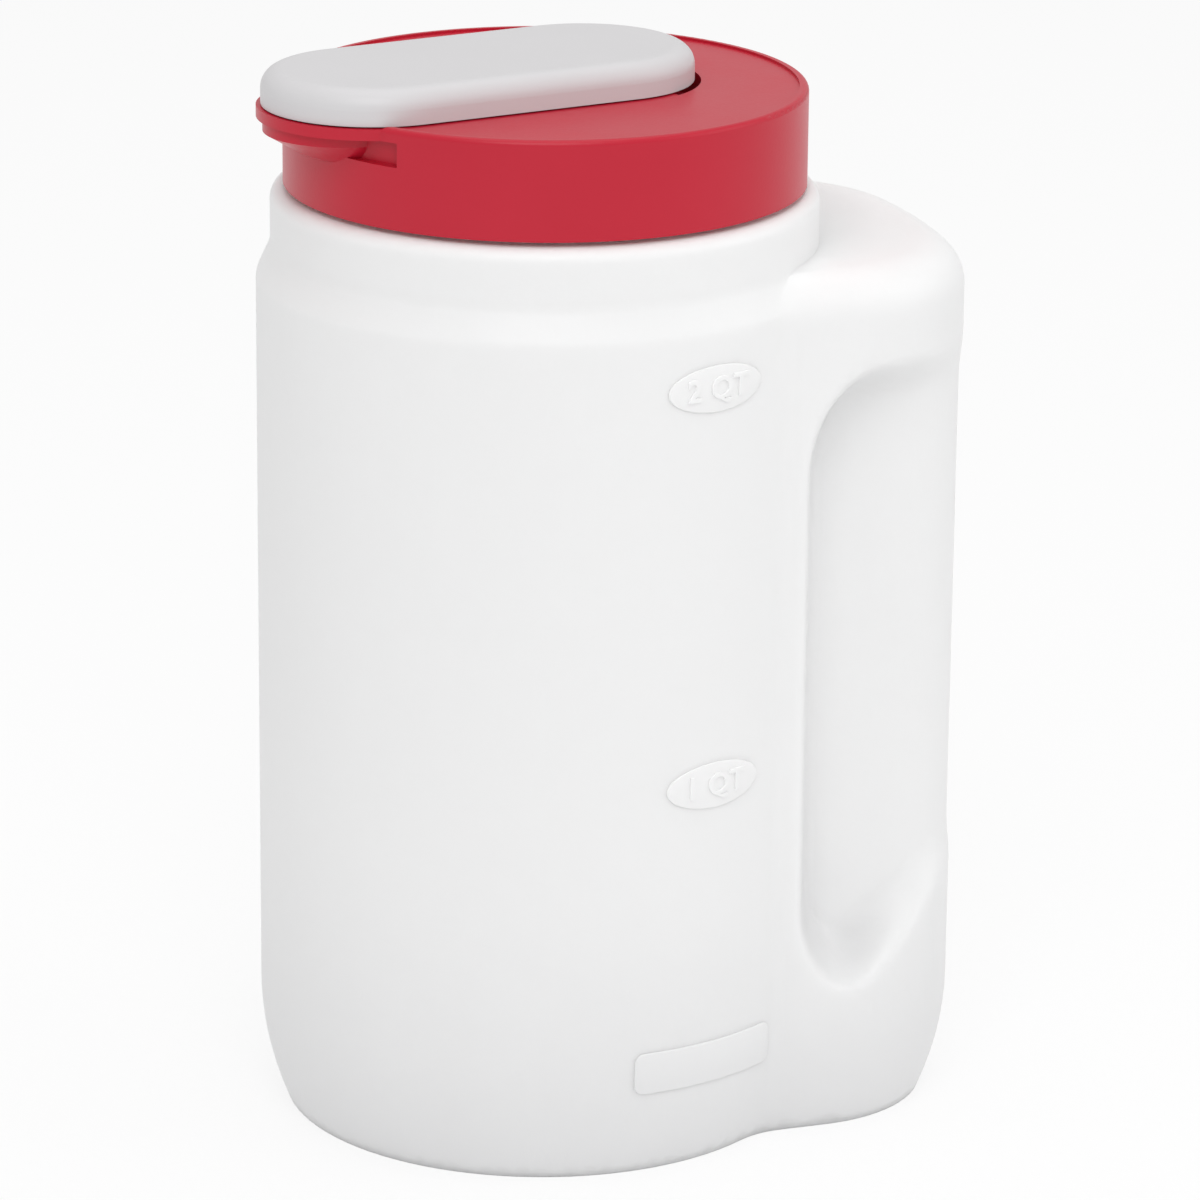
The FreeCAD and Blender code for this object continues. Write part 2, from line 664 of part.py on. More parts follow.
def draw_ear(sketch):
    """Leaning arm from the deck up to an eye round the hinge pin, with the pin's hole."""
    eye = Vector(read("hinge_x"), read(f"{DECK_LEVEL} + hinge_rise"), 0)
    radius = read("ear_radius")
    foot_front = Vector(read("ear_foot"), read(DECK_LEVEL), 0)
    foot_back = Vector(read("well_front"), read(DECK_LEVEL), 0)
    reach = eye - foot_front
    lean = math.atan2(reach.y, reach.x) + math.asin(radius / reach.Length)
    touch = eye + Vector(-math.sin(lean), math.cos(lean), 0) * radius
    under = eye - Vector(0, radius, 0)
    slope, arc, low, foot = add_pieces(sketch, [
        Part.LineSegment(foot_front, touch),
        arc_between(eye, under, touch),
        Part.LineSegment(under, foot_back),
        Part.LineSegment(foot_back, foot_front),
    ])
    sketch.addConstraint(Sketcher.Constraint("Tangent", slope, END, arc, END))
    joints = [(arc, START, low, START), (low, END, foot, START), (foot, END, slope, START)]
    for joint in joints:
        sketch.addConstraint(Sketcher.Constraint("Coincident", *joint))
    sketch.addConstraint(Sketcher.Constraint("Horizontal", foot))
    sketch.addConstraint(Sketcher.Constraint("Vertical", arc, CENTRE, arc, START))
    drive(sketch, Sketcher.Constraint("DistanceX", *ORIGIN_POINT, arc, CENTRE, eye.x), "eye_x",
          "hinge_x")
    drive(sketch, Sketcher.Constraint("DistanceY", *ORIGIN_POINT, arc, CENTRE, eye.y), "eye_y",
          f"{DECK_LEVEL} + hinge_rise")
    drive(sketch, Sketcher.Constraint("Radius", arc, radius), "eye", "ear_radius")
    drive(sketch, Sketcher.Constraint("DistanceX", *ORIGIN_POINT, foot, END, foot_front.x),
          "foot_front", "ear_foot")
    drive(sketch, Sketcher.Constraint("DistanceX", *ORIGIN_POINT, foot, START, foot_back.x),
          "foot_back", "well_front")
    drive(sketch, Sketcher.Constraint("DistanceY", *ORIGIN_POINT, foot, START, foot_back.y),
          "foot_level", DECK_LEVEL)
    draw_circle(sketch, "pin_radius + pin_gap", "hinge_x", f"{DECK_LEVEL} + hinge_rise")


def on_lid(body):
    """Turns a body with the lid and moves it with the frame."""
    body.Placement = FreeCAD.Placement(Vector(0, 0, 0), FreeCAD.Rotation(Vector(0, 0, 1), 1))
    bind(body, Placement__Base__x=SHIFT, Placement__Rotation__Angle="lid_turn * 1 deg")


def hole(body, name, low, high, draw, *sizes):
    """Pocket of an outline between two heights."""
    sketch = new_sketch(body, f"{name}_plan", low)
    draw(sketch, *sizes)
    return pocket(body, sketch, name, f"{high} - {low}", Reversed=True)


def block(body, name, low, high, draw, *sizes):
    """Pad of an outline between two heights."""
    sketch = new_sketch(body, f"{name}_plan", low)
    draw(sketch, *sizes)
    return pad(body, sketch, name, f"{high} - {low}")


def swept(body, kind, name, levels, radius):
    """Loft through capsules, each given by its height and the place of its centre."""
    sketches = []
    for number, (height, centre) in enumerate(levels, start=1):
        sketch = new_sketch(body, f"{name}_{number}", height)
        draw_capsule(sketch, centre, radius, "-pour_start")
        sketches.append(sketch)
    feature = body.newObject(f"PartDesign::{kind}", name)
    feature.Profile = sketches[0]
    feature.Sections = sketches[1:]
    return feature


def make_lid():
    """Screw lid: skirt, rim, deck, spout with its lip and throat, hinge ears and the well."""
    lid = new_body("screw_lid")
    under_lip = f"({DECK_LEVEL} - lip)"
    bend = f"({DECK_LEVEL} - lip - throat_drop)"
    skirt = block(lid, "skirt", "lid_bottom", "lid_top", draw_circle, "lid_radius")
    rounded(lid, skirt, "rim_edge", "lid_radius", "lid_top", "lid_edge")
    hole(lid, "recess", DECK_LEVEL, "lid_top", draw_circle, "lid_radius - rim_width")
    hole(lid, "passage", DECK_LEVEL, "lid_top", draw_capsule, "spout_centre", LIP_RADIUS,
         "-spout_centre / 2")
    hole(lid, "bore", "lid_bottom", "neck_top", draw_circle, "neck_radius + thread_gap")
    hole(lid, "room", "neck_top", f"({DECK_LEVEL} - deck)", draw_circle, "neck_radius - seat")
    hole(lid, "niche", "niche_low", under_lip, draw_niche)
    block(lid, "spout_lip", under_lip, DECK_LEVEL, draw_capsule, "spout_centre", LIP_RADIUS,
          "-spout_centre / 2")
    block(lid, "throat_front", bend, under_lip, draw_capsule, "throat_reach", "throat_radius",
          "-pour_start")
    swept(lid, "AdditiveLoft", "throat", [("throat_low", "throat_foot"), (bend, "throat_reach")],
          "throat_radius")
    inner = "throat_radius - throat_wall"
    hole(lid, "mouth", bend, f"({DECK_LEVEL} + rim_rise)", draw_capsule, "throat_reach", inner,
         "-pour_start")
    swept(lid, "SubtractiveLoft", "channel",
          [("(throat_low + throat_wall)", "throat_foot"), (bend, "throat_reach")], inner)
    outer = f"cover_radius + well_gap + well_wall"
    block(lid, "tub", "(well_floor - well_wall)", f"({DECK_LEVEL} - deck / 2)", draw_segment,
          BACK_CENTRE, outer, "well_front - well_wall")
    hole(lid, "well", "well_floor", "lid_top", draw_segment, BACK_CENTRE,
         "cover_radius + well_gap", "well_front")
    for side, sign in SIDES:
        ear = new_sketch(lid, f"ear_{side}_side", f"{sign} * (hinge_half - ear / 2)", "XZ_Plane")
        draw_ear(ear)
        pad(lid, ear, f"ear_{side}", "ear", Midplane=True)
    on_lid(lid)
    return lid


# ---------------------------------------------------------------- flip cover

def draw_cover(sketch, inset):
    """Long outline with a half round at each end."""
    radius = read(f"cover_radius - {inset}")
    spout, back = -read("spout_centre"), read(BACK_CENTRE)
    front_arc, low, back_arc, top = add_pieces(sketch, [
        arc_between(Vector(spout, 0, 0), Vector(spout, radius, 0), Vector(spout, -radius, 0)),
        Part.LineSegment(Vector(spout, -radius, 0), Vector(back, -radius, 0)),
        arc_between(Vector(back, 0, 0), Vector(back, -radius, 0), Vector(back, radius, 0)),
        Part.LineSegment(Vector(back, radius, 0), Vector(spout, radius, 0)),
    ])
    loop = [front_arc, low, back_arc, top]
    for a, b in zip(loop, loop[1:] + loop[:1]):
        sketch.addConstraint(Sketcher.Constraint("Tangent", a, END, b, START))
    for arc in (front_arc, back_arc):
        sketch.addConstraint(Sketcher.Constraint("PointOnObject", arc, CENTRE, X_AXIS))
    drive(sketch, Sketcher.Constraint("Radius", front_arc, radius), "radius",
          f"cover_radius - {inset}")
    drive(sketch, Sketcher.Constraint("DistanceX", front_arc, CENTRE, *ORIGIN_POINT, -spout),
          "centre", "spout_centre")
    drive(sketch, Sketcher.Constraint("DistanceX", *ORIGIN_POINT, back_arc, CENTRE, back),
          "back_centre", BACK_CENTRE)


def draw_knuckle(sketch):
    """Tongue from the roof of the cover down round the hinge pin."""
    radius = read("knuckle_radius")
    eye = Vector(read("hinge_x"), read(f"{DECK_LEVEL} + hinge_rise"), 0)
    high = read(f"{ROOF} + cover_wall / 2")
    arc, back, top, front = add_pieces(sketch, [
        arc_between(eye, eye - Vector(radius, 0, 0), eye + Vector(radius, 0, 0)),
        Part.LineSegment(eye + Vector(radius, 0, 0), Vector(eye.x + radius, high, 0)),
        Part.LineSegment(Vector(eye.x + radius, high, 0), Vector(eye.x - radius, high, 0)),
        Part.LineSegment(Vector(eye.x - radius, high, 0), eye - Vector(radius, 0, 0)),
    ])
    for joint in ((arc, END, back, START), (front, END, arc, START)):
        sketch.addConstraint(Sketcher.Constraint("Tangent", *joint))
    for joint in ((back, END, top, START), (top, END, front, START)):
        sketch.addConstraint(Sketcher.Constraint("Coincident", *joint))
    sketch.addConstraint(Sketcher.Constraint("Horizontal", top))
    sketch.addConstraint(Sketcher.Constraint("Vertical", back))
    drive(sketch, Sketcher.Constraint("DistanceX", *ORIGIN_POINT, arc, CENTRE, eye.x), "eye_x",
          "hinge_x")
    drive(sketch, Sketcher.Constraint("DistanceY", *ORIGIN_POINT, arc, CENTRE, eye.y), "eye_y",
          f"{DECK_LEVEL} + hinge_rise")
    drive(sketch, Sketcher.Constraint("Radius", arc, radius), "radius", "knuckle_radius")
    drive(sketch, Sketcher.Constraint("DistanceY", *ORIGIN_POINT, top, START, high), "high",
          f"{ROOF} + cover_wall / 2")


COVER_LOW = f"({DECK_LEVEL} + cover_gap)"
ROOF = f"({DECK_LEVEL} + cover_gap + cover_height - cover_wall)"


def make_cover():
    """Flip cover: shallow shell with a plug for the spout, a knuckle and the hinge pin."""
    cover = new_body("flip_cover")
    top = f"({COVER_LOW} + cover_height)"
    shell = block(cover, "shell", COVER_LOW, top, draw_cover, "0")
    doc.recompute()
    edges = [f"Edge{i}" for i, edge in enumerate(shell.Shape.Edges, start=1)
             if abs(edge.BoundBox.ZMin - shell.Shape.BoundBox.ZMax) < 1e-6]
    rounding = cover.newObject("PartDesign::Fillet", "cover_top_edge")
    rounding.Base = (shell, edges)
    rounding.setExpression("Radius", expr("cover_edge"))
    hole(cover, "hollow", COVER_LOW, ROOF, draw_cover, "cover_wall")
    plug_foot = f"({DECK_LEVEL} - plug_depth)"
    plug_radius = "(throat_radius - throat_wall - plug_gap)"
    block(cover, "plug", plug_foot, f"({ROOF} + cover_wall / 2)", draw_capsule, "throat_reach",
          plug_radius, "-pour_start - plug_gap")
    hole(cover, "plug_hollow", plug_foot, ROOF, draw_capsule, "throat_reach",
         f"{plug_radius} - plug_wall", "-pour_start - plug_gap - plug_wall")
    knuckle = new_sketch(cover, "knuckle_side", "0", "XZ_Plane")
    draw_knuckle(knuckle)
    pad(cover, knuckle, "knuckle", "2 * (hinge_half - ear - ear_gap)", Midplane=True)
    pin = new_sketch(cover, "pin_side", "0", "XZ_Plane")
    draw_circle(pin, "pin_radius", "hinge_x", f"{DECK_LEVEL} + hinge_rise")
    pad(cover, pin, "hinge_pin", "2 * hinge_half", Midplane=True)
    on_lid(cover)
    return cover


# ---------------------------------------------------------------- check and write

def check(nodes):
    """Stops where an object failed or a piece isn't one valid solid."""
    for thing in doc.Objects:
        if "Invalid" in thing.State or "Error" in thing.State:
            raise RuntimeError(f"{thing.Name} failed: {thing.State}")
    for node in nodes:
        shape = node.Shape
        if shape.isNull() or not shape.isValid() or len(shape.Solids) != 1:
            raise RuntimeError(f"{node.Label} is not one valid solid")


def main():
    nodes = [make_bottle(), make_lid(), make_cover()]
    doc.recompute()
    check(nodes)
    for node in nodes:
        node.Shape.exportStep(f"parts/{node.Label}.step")
        print(f"{node.Label}: {node.Shape.Volume / 1000:.1f} cm3")


main()
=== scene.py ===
"""A two quart mixing bottle: milky blown bottle, red screw lid and white flip cover.

Lengths are in metres and angles in degrees, unless a function says otherwise.
"""

import logging
import math
from dataclasses import dataclass, replace
from enum import Enum
from typing import Any

import bmesh
import bpy
from mathutils import Matrix, Vector
from mathutils.bvhtree import BVHTree


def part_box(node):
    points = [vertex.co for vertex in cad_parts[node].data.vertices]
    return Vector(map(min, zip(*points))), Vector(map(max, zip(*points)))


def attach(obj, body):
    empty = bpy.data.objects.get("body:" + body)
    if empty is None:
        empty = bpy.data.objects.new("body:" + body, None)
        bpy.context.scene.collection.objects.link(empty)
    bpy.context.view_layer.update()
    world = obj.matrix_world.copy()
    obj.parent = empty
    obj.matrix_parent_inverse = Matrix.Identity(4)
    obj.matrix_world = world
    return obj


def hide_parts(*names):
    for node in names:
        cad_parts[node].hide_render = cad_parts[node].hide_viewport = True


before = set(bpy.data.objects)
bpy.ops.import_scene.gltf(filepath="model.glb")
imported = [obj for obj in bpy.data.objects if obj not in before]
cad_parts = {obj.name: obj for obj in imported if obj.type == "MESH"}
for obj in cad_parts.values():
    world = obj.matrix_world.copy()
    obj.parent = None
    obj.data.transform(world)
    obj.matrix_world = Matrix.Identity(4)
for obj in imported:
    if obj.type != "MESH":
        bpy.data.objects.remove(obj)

LOG = logging.getLogger("mixing_bottle")
MM = 0.001
NEAR = 1e-6         # points nearer than this are one point
FINE = 1e-7         # the same for the fine cuts of the marks
FAR = 0.2           # farther from the axis than any wall that carries a mark
Triple = tuple[float, float, float]


class Outline(Enum):
    """Outline of a raised plate."""

    OVAL = "oval"
    ROUNDED = "rounded"


# ------------------------------------------------------------------ shader maths

class Value:
    """A number that varies over a surface, with Python's own arithmetic."""

    def __init__(self, graph: "Graph", socket: bpy.types.NodeSocket) -> None:
        """Wraps an output socket of a graph."""
        self.graph = graph
        self.socket = socket

    def _math(self, operation: str, *terms: Any, clamp: bool = False) -> "Value":
        """Adds one Math node.

        Args:
            operation: name of the Math operation.
            terms: its operands in order.
            clamp: keeps the result from 0 to 1.

        Returns:
            The node's result.
        """
        settings = {"operation": operation, "use_clamp": clamp}
        inputs = dict(enumerate(terms))
        return Value(self.graph, self.graph.node("ShaderNodeMath", settings, inputs).outputs[0])

    def __add__(self, other: Any) -> "Value":
        """Sum."""
        return self._math("ADD", self, other)

    __radd__ = __add__

    def __sub__(self, other: Any) -> "Value":
        """Difference."""
        return self._math("SUBTRACT", self, other)

    def __mul__(self, other: Any) -> "Value":
        """Product."""
        return self._math("MULTIPLY", self, other)

    def held(self) -> "Value":
        """The value kept from 0 to 1."""
        return self._math("MULTIPLY", self, 1.0, clamp=True)

    def smooth(self, low: float, high: float) -> "Value":
        """Rises smoothly.

        Args:
            low: value up to which the result is 0.
            high: value from which it is 1.

        Returns:
            The result.
        """
        settings = {"interpolation_type": "SMOOTHSTEP"}
        inputs = {"Value": self, "From Min": low, "From Max": high}
        node = self.graph.node("ShaderNodeMapRange", settings, inputs)
        return Value(self.graph, node.outputs["Result"])


class Graph:
    """The node tree of one material."""

    def __init__(self, name: str) -> None:
        """Starts an empty material."""
        self.material = bpy.data.materials.new(name)
        self.material.use_nodes = True
        self.tree = self.material.node_tree
        self.tree.nodes.clear()

    def node(self, kind: str, settings: dict[str, Any] | None = None,
             inputs: dict[Any, Any] | None = None) -> bpy.types.Node:
        """Adds a node.

        Args:
            kind: type name of the node.
            settings: properties that are set first.
            inputs: values or links of its sockets, by name or number.

        Returns:
            The new node.
        """
        made = self.tree.nodes.new(kind)
        for key, value in (settings or {}).items():
            setattr(made, key, value)
        for key, value in (inputs or {}).items():
            socket = made.inputs[key]
            if isinstance(value, Value):
                self.tree.links.new(value.socket, socket)
            elif isinstance(value, bpy.types.NodeSocket):
                self.tree.links.new(value, socket)
            else:
                socket.default_value = value
        return made

    def place(self) -> bpy.types.NodeSocket:
        """Object coordinates."""
        return self.node("ShaderNodeTexCoord").outputs["Object"]

    def height(self) -> Value:
        """Height over the foot."""
        parts = self.node("ShaderNodeSeparateXYZ", None, {"Vector": self.place()})
        return Value(self, parts.outputs["Z"])

    def noise(self, size: float, detail: float = 2.0, stretch: Triple = (1.0, 1.0, 1.0)) -> Value:
        """Soft random pattern.

        Args:
            size: size of one blotch.
            detail: how many finer layers it has.
            stretch: how much finer it is along each axis.

        Returns:
            A value near 0.5.
        """
        scaled = self.node("ShaderNodeMapping", None, {"Vector": self.place(), "Scale": stretch})
        made = self.node("ShaderNodeTexNoise", None, {
            "Vector": scaled.outputs[0], "Scale": 1.0 / size, "Detail": detail})
        return Value(self, made.outputs[0])

    def blend(self, amount: Value, first: Triple, second: Triple) -> bpy.types.NodeSocket:
        """Mixes two colours by amount."""
        made = self.node("ShaderNodeMix", {"data_type": "RGBA"}, {
            0: amount, 6: (*first, 1.0), 7: (*second, 1.0)})
        return made.outputs[2]

    def bump(self, height: Value, depth: float, strength: float) -> bpy.types.NodeSocket:
        """Normal of a surface with a low relief of that depth."""
        made = self.node("ShaderNodeBump", None, {
            "Height": height, "Distance": depth, "Strength": strength})
        return made.outputs["Normal"]

    def finish(self, **inputs: Any) -> bpy.types.Material:
        """Ends the graph in one Principled shader.

        Args:
            inputs: its sockets, with _ for a space.

        Returns:
            The finished material.
        """
        named = {key.replace("_", " "): value for key, value in inputs.items()}
        shader = self.node("ShaderNodeBsdfPrincipled", None, named)
        self.node("ShaderNodeOutputMaterial", None, {"Surface": shader.outputs[0]})
        return self.material


# ------------------------------------------------------------------ finishes

@dataclass(frozen=True)
class MilkyPlastic:
    """Blown polyethylene, waxy and a little cloudy."""

    # A lit colour and a darker copy of it, which is painted shade for the lower wall up to the
    # given height.
    lit_colour: Triple = (0.95, 0.95, 0.951)
    painted_shade_colour: Triple = (0.82, 0.82, 0.825)
    painted_shade_height: float = 75.0 * MM
    drift: float = 20.0 * MM
    cloud: float = 35.0 * MM
    flow: float = 6.0 * MM
    flow_stretch: Triple = (1.0, 1.0, 0.12)
    grain: float = 1.1 * MM
    relief: float = 1.2 * MM
    relief_strength: float = 0.6
    cloud_relief: float = 0.5
    flow_relief: float = 0.12
    grain_relief: float = 0.03
    roughness: float = 0.42
    roughness_change: float = 0.12
    bend: float = 1.5
    glow: float = 0.5
    spread: float = 3.0 * MM
    name: str = "milky_plastic"

    def material(self) -> bpy.types.Material:
        """Cloudy wall with faint flow marks, greyer towards the foot as painted shade for the lower
        wall.

        Returns:
            The finished material.
        """
        graph = Graph(self.name)
        height = graph.height()
        cloud = graph.noise(self.cloud, 3.0)
        flow = graph.noise(self.flow, 2.0, self.flow_stretch)
        grain = graph.noise(self.grain)
        # Painted shade: the wall turns to the darker colour towards the foot, with a cloudy edge.
        out_of_painted_shade = (height + (cloud - 0.5) * self.drift).smooth(0.0, self.painted_shade_height)
        rough = self.roughness + (cloud - 0.5) * self.roughness_change
        relief = cloud * self.cloud_relief + flow * self.flow_relief + grain * self.grain_relief
        return graph.finish(
            Base_Color=graph.blend(out_of_painted_shade, self.painted_shade_colour, self.lit_colour), Roughness=rough,
            IOR=self.bend, Subsurface_Weight=self.glow, Subsurface_Scale=self.spread,
            Subsurface_Radius=(1.0, 1.0, 1.0),
            Normal=graph.bump(relief, self.relief, self.relief_strength))


@dataclass(frozen=True)
class MouldedPlastic:
    """Injection moulded polypropylene with a fine satin skin."""

    name: str
    colour: Triple
    pale: Triple
    roughness: float
    cloud: float = 20.0 * MM
    pale_from: float = 0.35
    pale_share: float = 0.6
    cloud_roughness: float = 0.1
    grain: float = 0.7 * MM
    grain_roughness: float = 0.05
    relief: float = 0.03 * MM
    relief_strength: float = 0.5
    bend: float = 1.49
    shine: float = 0.35

    def material(self) -> bpy.types.Material:
        """Even colour with slight clouding and a fine skin.

        Returns:
            The finished material.
        """
        graph = Graph(self.name)
        cloud = graph.noise(self.cloud, 3.0)
        grain = graph.noise(self.grain)
        pale = (cloud - self.pale_from) * self.pale_share
        rough = (self.roughness + (cloud - 0.5) * self.cloud_roughness
                 + (grain - 0.5) * self.grain_roughness)
        return graph.finish(
            Base_Color=graph.blend(pale, self.colour, self.pale), Roughness=rough,
            IOR=self.bend, Specular_IOR_Level=self.shine,
            Normal=graph.bump(grain, self.relief, self.relief_strength))


MILKY = MilkyPlastic()
RAISED = MilkyPlastic(glow=0.22, name="milky_plastic_raised")
RED = MouldedPlastic("red_plastic", (0.51, 0.01, 0.03), (0.58, 0.017, 0.042), 0.34)
WHITE = MouldedPlastic("white_plastic", (0.64, 0.63, 0.64), (0.68, 0.67, 0.68), 0.38)


# ------------------------------------------------------------------ making pieces

@dataclass
class Piece:
    """One node of the model that keeps its shape and gets a finish."""

    node: str
    finish: MouldedPlastic

    def dress(self) -> None:
        """Puts the finish on every material slot of the node."""
        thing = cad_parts[self.node]
        material = self.finish.material()
        if not thing.material_slots:
            thing.data.materials.append(material)
        for slot in thing.material_slots:
            slot.material = material
        LOG.info("%s: %s", self.node, self.finish.name)


def link(thing: bpy.types.Object) -> bpy.types.Object:
    """Puts an object in the scene."""
    bpy.context.scene.collection.objects.link(thing)
    return thing


def bottle_piece(shape: bmesh.types.BMesh, name: str, material: bpy.types.Material,
                 crease: float) -> bpy.types.Object:
    """Makes a form a piece of the bottle.

    Args:
        shape: the form, which is used up.
        name: name of the piece.
        material: its finish.
        crease: angle from which an edge shows.

    Returns:
        The piece.
    """
    mesh = bpy.data.meshes.new(name)
    shape.to_mesh(mesh)
    shape.free()
    for face in mesh.polygons:
        face.use_smooth = True
    mesh.set_sharp_from_angle(angle=math.radians(crease))
    mesh.materials.clear()
    mesh.materials.append(material)
    piece = link(bpy.data.objects.new(name, mesh))
    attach(piece, "bottle")
    LOG.info("%s: %d faces", name, len(mesh.polygons))
    return piece


# ------------------------------------------------------------------ the bottle

@dataclass(frozen=True)
class LobePlan:
    """Plan outline of the handle lobe: straight sides, two back corners and the back."""

    front: float = 57.8 * MM
    half: float = 46.2 * MM
    waist: float = 12.2 * MM
    corner: float = 34.7 * MM
    back: float = 132.0 * MM
    reach: float = 84.0 * MM

    @property
    def start(self) -> float:
        """Distance from the axis to where the straight side starts."""
        return math.sqrt((self.front + self.waist) ** 2 - (self.half + self.waist) ** 2)

    @property
    def back_centre(self) -> Vector:
        """Centre of the back."""
        return Vector((self.reach - self.back, 0.0))

    @property
    def corner_centre(self) -> Vector:
        """Centre of a back corner."""
        side = self.half - self.corner
        ahead = math.sqrt((self.back - self.corner) ** 2 - side ** 2)
        return Vector((self.reach - self.back + ahead, side))

    def locate(self, along: float, across: float) -> tuple[float, float, Vector]:
        """Finds a place against the outline.

        Args:
            along: distance from the axis towards the lobe.
            across: distance from the middle plane.

        Returns:
            Run along the outline from the start of the side, depth inside it, and the
            outward normal.
        """
        side = math.copysign(1.0, across)
        corner = self.corner_centre
        if along < corner.x:
            return along - self.start, self.half - abs(across), Vector((0.0, side, 0.0))
        centre = self.back_centre
        joint = math.atan2(corner.y, corner.x - centre.x)
        place = Vector((along, abs(across)))
        spoke = place - centre
        angle = math.atan2(spoke.y, spoke.x)
        run = corner.x - self.start
        if angle > joint:
            spoke = place - corner
            run += self.corner * (math.pi / 2 - math.atan2(spoke.y, spoke.x))
            depth = self.corner - spoke.length
        else:
            run = run + self.corner * (math.pi / 2 - joint) + self.back * (joint - angle)
            depth = self.back - spoke.length
        normal = spoke.normalized()
        return run, depth, Vector((normal.x, normal.y * side, 0.0))


@dataclass(frozen=True)
class Grip:
    """Finger recess that runs round the lobe and fades towards the back."""

    low: float = 25.5 * MM
    high: float = 164.2 * MM
    depth: float = 16.8 * MM
    back_depth: float = 0.7 * MM
    fade: float = 51.0 * MM
    rise: float = 22.5 * MM
    corner: float = 24.5 * MM
    slope: float = 12.2 * MM
    front_slope: float = 9.2 * MM

    @staticmethod
    def eased(share: float) -> float:
        """Smooth step from 0 to 1 with level ends."""
        share = min(1.0, max(0.0, share))
        return share ** 3 * (6 * share ** 2 - 15 * share + 10)

    def sink(self, run: float, height: float) -> float:
        """Depth of the floor of the recess.

        Args:
            run: distance round the lobe from the start of its side.
            height: height over the foot.

        Returns:
            The depth, 0 outside the recess.
        """
        if run <= 0.0:
            return 0.0
        fade = (1 + math.cos(math.pi * min(1.0, run / self.fade))) / 2
        deepest = self.back_depth + (self.depth - self.back_depth) * fade
        low = self.low + self.rise * self.eased(run / self.fade)
        side = run * self.slope / self.front_slope
        level = min(height - low, self.high - height)
        inside = min(side, level)
        if max(side, level) < self.corner:
            inside = self.corner - math.hypot(self.corner - side, self.corner - level)
        return deepest * self.eased(inside / self.slope)


@dataclass
class Bottle:
    """The blown shell, with an even finger recess of fine facets."""

    plan: LobePlan
    grip: Grip
    axis_x: float
    wall: float = 1.3 * MM
    cell: float = 2.0 * MM
    margin: float = 4.0 * MM
    front_margin: float = 1.0 * MM
    rim_depth: float = 0.1 * MM
    crease: float = 40.0

    def outer(self, shape: bmesh.types.BMesh) -> set[bmesh.types.BMVert]:
        """Points of the outer skin: all that hang together below the neck rim.

        Args:
            shape: the shell.

        Returns:
            The points.
        """
        rim = max(vert.co.z for vert in shape.verts) - self.rim_depth
        found = {min(shape.verts, key=lambda vert: vert.co.z)}
        fresh = list(found)
        while fresh:
            vert = fresh.pop()
            for edge in vert.link_edges:
                other = edge.other_vert(vert)
                if other not in found and other.co.z < rim:
                    found.add(other)
                    fresh.append(other)
        return found

    def mark_zone(self, shape: bmesh.types.BMesh) -> bmesh.types.BMLayerItem:
        """Marks the faces of the outer skin that lie in or near the recess.

        Args:
            shape: the shell.

        Returns:
            The layer, 1 on the marked faces.
        """
        layer = shape.faces.layers.int.new("zone")
        outer = self.outer(shape)
        low, high = self.grip.low - self.margin, self.grip.high + self.margin
        for face in shape.faces:
            centre = face.calc_center_median()
            run = self.plan.locate(centre.x - self.axis_x, centre.y)[0]
            outside = all(vert in outer for vert in face.verts)
            face[layer] = int(run > -self.front_margin and low < centre.z < high and outside)
        return layer

    def cut(self, shape: bmesh.types.BMesh) -> None:
        """Cuts the zone into cells by level, cross and lengthwise planes.

        Args:
            shape: the shell.
        """
        layer = self.mark_zone(shape)
        levels = int((self.grip.high - self.grip.low) / self.cell) + 1
        along = int((self.plan.reach - self.plan.start) / self.cell) + 1
        across = int(self.plan.half / self.cell)
        rows = ((Vector((0.0, 0.0, 1.0)), self.grip.low, range(levels)),
                (Vector((1.0, 0.0, 0.0)), self.plan.start + self.axis_x, range(along)),
                (Vector((0.0, 1.0, 0.0)), 0.0, range(-across, across + 1)))
        for normal, first, steps in rows:
            for step in steps:
                faces = [face for face in shape.faces if face[layer]]
                geometry = {item for face in faces for item in (*face.edges, *face.verts)}
                bmesh.ops.bisect_plane(shape, geom=faces + list(geometry), dist=NEAR,
                                       plane_co=normal * (first + step * self.cell),
                                       plane_no=normal)

    def seat(self, shape: bmesh.types.BMesh) -> None:
        """Moves the points of both skins on to the even floor of the recess.

        Args:
            shape: the shell.
        """
        outer = self.outer(shape)
        for vert in shape.verts:
            run, depth, normal = self.plan.locate(vert.co.x - self.axis_x, vert.co.y)
            wanted = self.grip.sink(run, vert.co.z)
            if wanted > 0.0:
                wanted += 0.0 if vert in outer else self.wall
                vert.co -= normal * (wanted - depth)

    def build(self, material: bpy.types.Material) -> bpy.types.Object:
        """Makes the piece that stands for the plain bottle.

        Args:
            material: finish of the bottle.

        Returns:
            The piece.
        """
        shape = bmesh.new()
        shape.from_mesh(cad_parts["bottle"].data)
        bmesh.ops.remove_doubles(shape, verts=shape.verts[:], dist=NEAR)
        self.cut(shape)
        self.seat(shape)
        bmesh.ops.triangulate(shape, faces=[face for face in shape.faces if len(face.verts) > 4])
        piece = bottle_piece(shape, "blown_bottle", material, self.crease)
        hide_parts("bottle")
        return piece


# ------------------------------------------------------------------ raised marks

